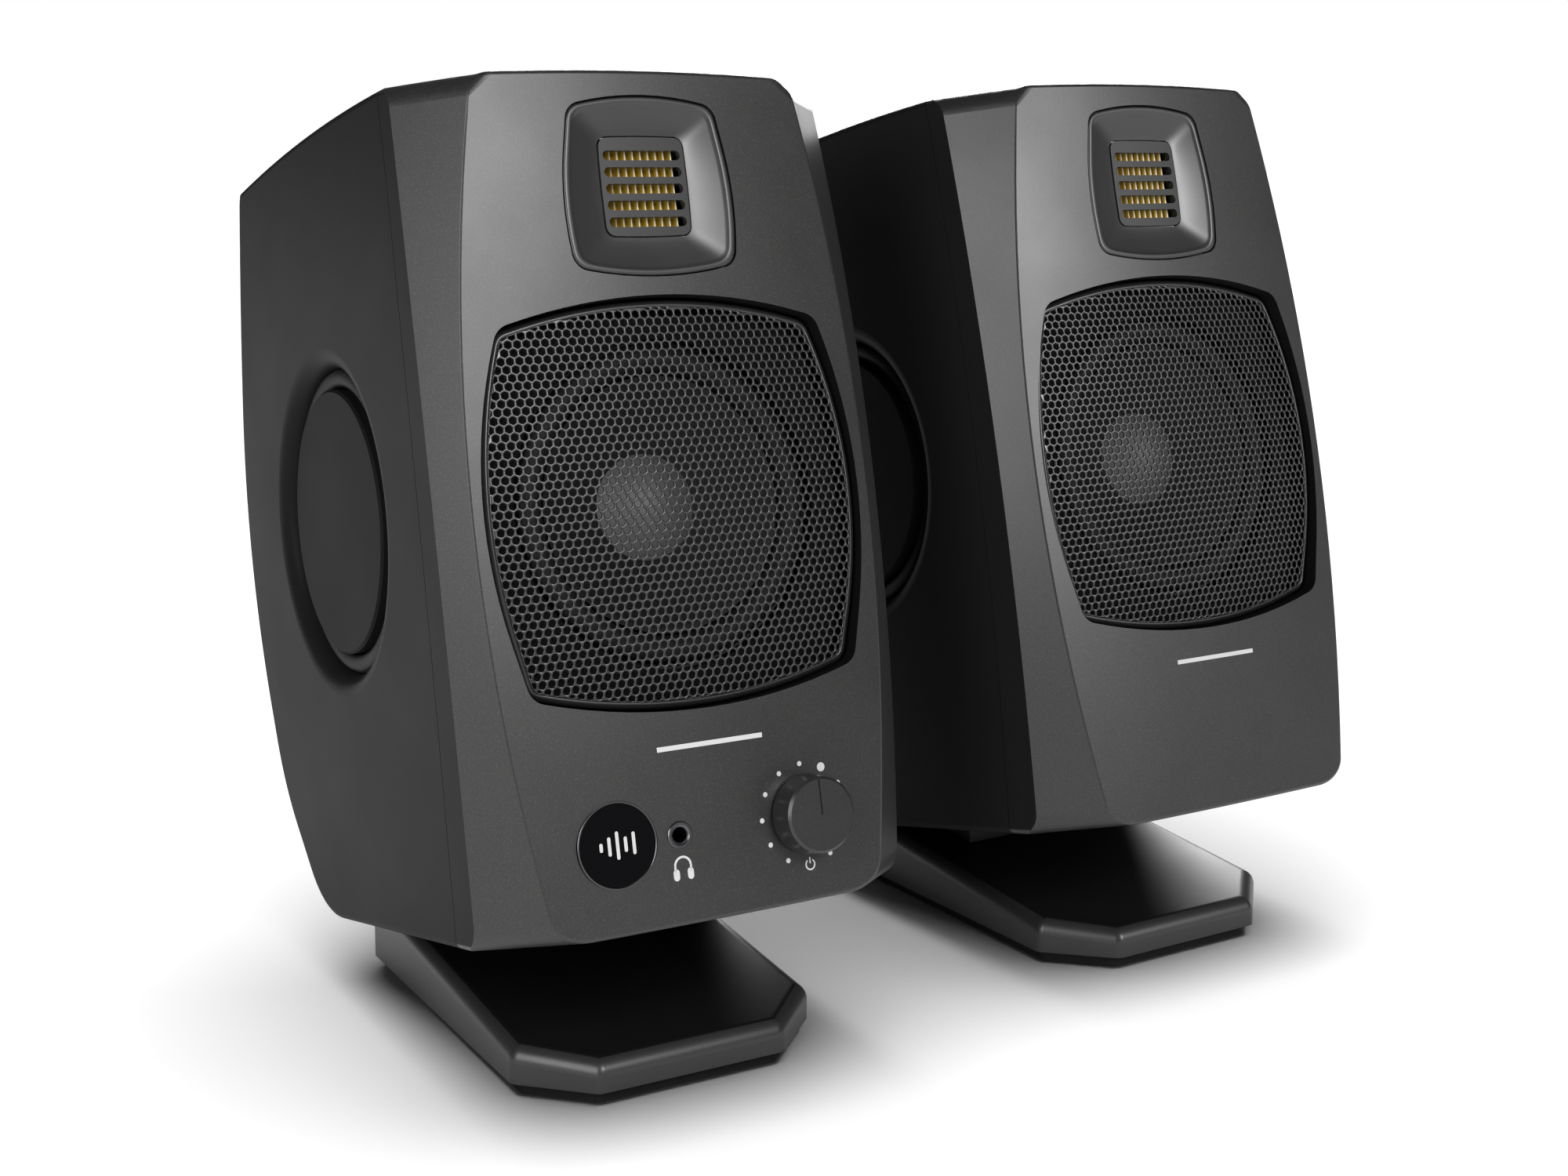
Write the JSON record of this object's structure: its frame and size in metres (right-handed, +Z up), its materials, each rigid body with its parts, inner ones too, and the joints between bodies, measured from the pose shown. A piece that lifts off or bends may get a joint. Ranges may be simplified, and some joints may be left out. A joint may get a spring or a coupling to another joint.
{
  "type": "desktop speaker pair",
  "caption": "Pair of compact bevelled desktop loudspeakers tilted back on wedge stands, with domed grilles, slotted tweeters, side radiators and front controls.",
  "frame": {"origin": "middle of the pair's bounding box on the desk plane", "axes": "+X from the left (active) speaker to the right one, +Y to the back, +Z up; fronts face -Y"},
  "size_m": [0.2714, 0.1996, 0.2372],
  "materials": {
    "baffle": "fine satin texture",
    "shell": "smooth satin",
    "panel": "fine matte",
    "bezel": "fine satin",
    "slot_plate": "satin",
    "grille": "satin black",
    "basket": "matte black",
    "magnet": "plated",
    "roll": "matte",
    "cone": "matte",
    "dome": "satin",
    "foil": "pleated foil",
    "disc": "matte dark",
    "display": "polished",
    "jack": "turned",
    "knob": "satin",
    "board": "circuit board",
    "socket": "matte",
    "screw": "blackened",
    "stand": "satin",
    "sole": "soft matte"
  },
  "bodies": {
    "left_speaker": {"left_rear_shell": "shell", "left_woofer_grille": "grille", "left_woofer_basket": "basket", "left_woofer_magnet": "magnet", "left_woofer_surround": "roll", "left_tweeter_bezel": "bezel", "left_tweeter_slot_plate": "slot_plate", "left_tweeter_membrane": "foil", "left_tweeter_housing": "magnet", "left_radiator_surrounds": "roll", "left_radiator_frames": "basket", "left_front_baffle": "baffle", "left_rear_panel": "panel", "left_link_socket": "socket", "left_screws": "screw", "left_stand": "stand", "left_stand_sole": "sole", "left_stand_screw": "screw", "left_display_window": "display", "left_headphone_jack": "jack", "left_encoder_body": "basket", "left_control_board": "board", "left_amplifier_board": "board", "left_line_inputs": "socket", "left_usb_socket": "jack", "left_power_socket": "socket", "left_switch_cases": "socket"},
    "right_speaker": {"right_rear_shell": "shell", "right_woofer_grille": "grille", "right_woofer_basket": "basket", "right_woofer_magnet": "magnet", "right_woofer_surround": "roll", "right_tweeter_bezel": "bezel", "right_tweeter_slot_plate": "slot_plate", "right_tweeter_membrane": "foil", "right_tweeter_housing": "magnet", "right_radiator_surrounds": "roll", "right_radiator_frames": "basket", "right_front_baffle": "baffle", "right_rear_panel": "panel", "right_link_socket": "socket", "right_screws": "screw", "right_stand": "stand", "right_stand_sole": "sole", "right_stand_screw": "screw"},
    "left_woofer": {"left_woofer_cone": "cone", "left_woofer_dome": "dome"},
    "left_radiator_a": {"left_radiator_disc_a": "disc"},
    "left_radiator_b": {"left_radiator_disc_b": "disc"},
    "right_woofer": {"right_woofer_cone": "cone", "right_woofer_dome": "dome"},
    "right_radiator_a": {"right_radiator_disc_a": "disc"},
    "right_radiator_b": {"right_radiator_disc_b": "disc"},
    "knob_plunger": {"left_encoder_plunger": "socket"},
    "knob": {"left_volume_knob": "knob", "left_encoder_shaft": "jack"},
    "switch_a": {"left_switch_slider_a": "socket"},
    "switch_b": {"left_switch_slider_b": "socket"},
    "switch_c": {"left_switch_slider_c": "socket"}
  },
  "joints": [
    {"name": "right_speaker_on_desk", "type": "slide", "parent": "left_speaker", "child": "right_speaker", "axis": [1, 0, 0], "range_m": [-0.03, 0.3]},
    {"name": "left_woofer_travel", "type": "slide", "parent": "left_speaker", "child": "left_woofer", "axis": [0, -0.9746, 0.2239], "range_m": [-0.003, 0.003], "stiffness_N_per_m": 600},
    {"name": "left_radiator_a_travel", "type": "slide", "parent": "left_speaker", "child": "left_radiator_a", "axis": [-1, 0, 0], "range_m": [-0.002, 0.002], "stiffness_N_per_m": 1200},
    {"name": "left_radiator_b_travel", "type": "slide", "parent": "left_speaker", "child": "left_radiator_b", "axis": [1, 0, 0], "range_m": [-0.002, 0.002], "stiffness_N_per_m": 1200},
    {"name": "right_woofer_travel", "type": "slide", "parent": "right_speaker", "child": "right_woofer", "axis": [0.04, -0.9738, 0.2239], "range_m": [-0.003, 0.003], "stiffness_N_per_m": 600},
    {"name": "right_radiator_a_travel", "type": "slide", "parent": "right_speaker", "child": "right_radiator_a", "axis": [-0.9992, -0.041, 0], "range_m": [-0.002, 0.002], "stiffness_N_per_m": 1200},
    {"name": "right_radiator_b_travel", "type": "slide", "parent": "right_speaker", "child": "right_radiator_b", "axis": [0.9992, 0.041, 0], "range_m": [-0.002, 0.002], "stiffness_N_per_m": 1200},
    {"name": "knob_press", "type": "slide", "parent": "left_speaker", "child": "knob_plunger", "axis": [0, 0.9746, -0.2239], "range_m": [0, 0.0005], "stiffness_N_per_m": 4000},
    {"name": "volume_turn", "type": "hinge", "parent": "knob_plunger", "child": "knob", "pos_m": [-0.05561, -0.09334, 0.0668], "axis": [0, -0.9746, 0.2239], "range_deg": [-150, 150]},
    {"name": "switch_a_slide", "type": "slide", "parent": "left_speaker", "child": "switch_a", "axis": [0, 0.2239, 0.9746], "range_m": [-0.0022, 0.0022]},
    {"name": "switch_b_slide", "type": "slide", "parent": "left_speaker", "child": "switch_b", "axis": [0, 0.2239, 0.9746], "range_m": [-0.0022, 0.0022]},
    {"name": "switch_c_slide", "type": "slide", "parent": "left_speaker", "child": "switch_c", "axis": [0, 0.2239, 0.9746], "range_m": [-0.0022, 0.0022]}
  ]
}
